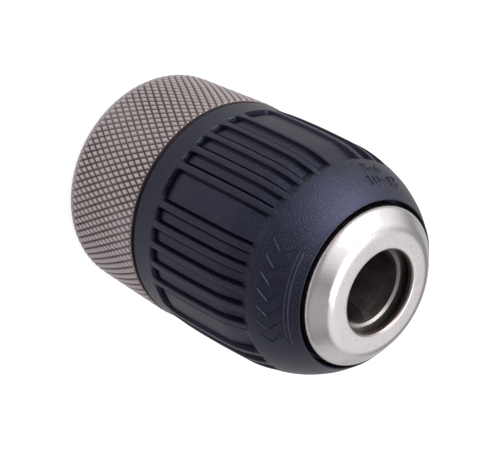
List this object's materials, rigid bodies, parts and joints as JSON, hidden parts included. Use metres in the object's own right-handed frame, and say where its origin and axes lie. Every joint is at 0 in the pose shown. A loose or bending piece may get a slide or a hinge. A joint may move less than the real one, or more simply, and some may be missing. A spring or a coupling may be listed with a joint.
{
  "type": "keyless drill chuck",
  "caption": "Keyless drill chuck with a knurled metal rear sleeve, a slotted black front sleeve, a plated nose cap and three inclined jaws.",
  "frame": {"origin": "centre of the body's rear face, on which the chuck stands", "axes": "+Z along the chuck's axis towards the nose, -Y towards the viewer"},
  "size_m": [0.043, 0.043, 0.061],
  "materials": {
    "body_steel": "turned steel, lightly oiled",
    "hardened_steel": "ground",
    "plated_cap": "bright nickel plate",
    "knurled_sleeve": "diamond knurled, matt nickel plate",
    "black_plastic": "moulded, fine grain",
    "nut_steel": "turned and tapped",
    "band_steel": "pressed sheet",
    "cage_brass": "stamped",
    "ball_steel": "polished",
    "jaw_steel": "hardened, ground flanks"
  },
  "bodies": {
    "root": {"body": "body_steel", "thrust_ring": "hardened_steel", "rear_race": "hardened_steel", "nose_cap": "plated_cap", "rear_sleeve": "knurled_sleeve"},
    "sleeve": {"front_sleeve": "black_plastic", "nut_half_a": "nut_steel", "nut_half_b": "nut_steel", "nut_band": "band_steel", "front_race": "hardened_steel"},
    "cage": {"ball_cage": "cage_brass", "bearing_ball_01": "ball_steel", "bearing_ball_02": "ball_steel", "bearing_ball_03": "ball_steel", "bearing_ball_04": "ball_steel", "bearing_ball_05": "ball_steel", "bearing_ball_06": "ball_steel", "bearing_ball_07": "ball_steel", "bearing_ball_08": "ball_steel", "bearing_ball_09": "ball_steel", "bearing_ball_10": "ball_steel", "bearing_ball_11": "ball_steel", "bearing_ball_12": "ball_steel", "bearing_ball_13": "ball_steel", "bearing_ball_14": "ball_steel", "bearing_ball_15": "ball_steel", "bearing_ball_16": "ball_steel", "bearing_ball_17": "ball_steel", "bearing_ball_18": "ball_steel", "bearing_ball_19": "ball_steel", "bearing_ball_20": "ball_steel"},
    "jaw_1": {"jaw_1": "jaw_steel"},
    "jaw_2": {"jaw_2": "jaw_steel"},
    "jaw_3": {"jaw_3": "jaw_steel"}
  },
  "joints": [
    {"name": "sleeve_turn", "type": "hinge", "parent": "root", "child": "sleeve", "pos_m": [0, 0, 0.0365], "axis": [0, 0, -1], "range_deg": [0, 3795]},
    {"name": "cage_turn", "type": "hinge", "parent": "root", "child": "cage", "pos_m": [0, 0, 0.031], "axis": [0, 0, -1], "range_deg": [0, 1898]},
    {"name": "jaw_1_slide", "type": "slide", "parent": "root", "child": "jaw_1", "axis": [-0.2346, -0.1094, 0.9659], "range_m": [0, 0.02183]},
    {"name": "jaw_2_slide", "type": "slide", "parent": "root", "child": "jaw_2", "axis": [0.212, -0.1485, 0.9659], "range_m": [0, 0.02183]},
    {"name": "jaw_3_slide", "type": "slide", "parent": "root", "child": "jaw_3", "axis": [0.0226, 0.2578, 0.9659], "range_m": [0, 0.02183]}
  ],
  "couplings": [
    {"joint": "cage_turn", "follows": "sleeve_turn", "ratio": 0.5},
    {"joint": "jaw_1_slide", "follows": "sleeve_turn", "m_per_rad": 0.00032954},
    {"joint": "jaw_2_slide", "follows": "sleeve_turn", "m_per_rad": 0.00032954},
    {"joint": "jaw_3_slide", "follows": "sleeve_turn", "m_per_rad": 0.00032954}
  ]
}
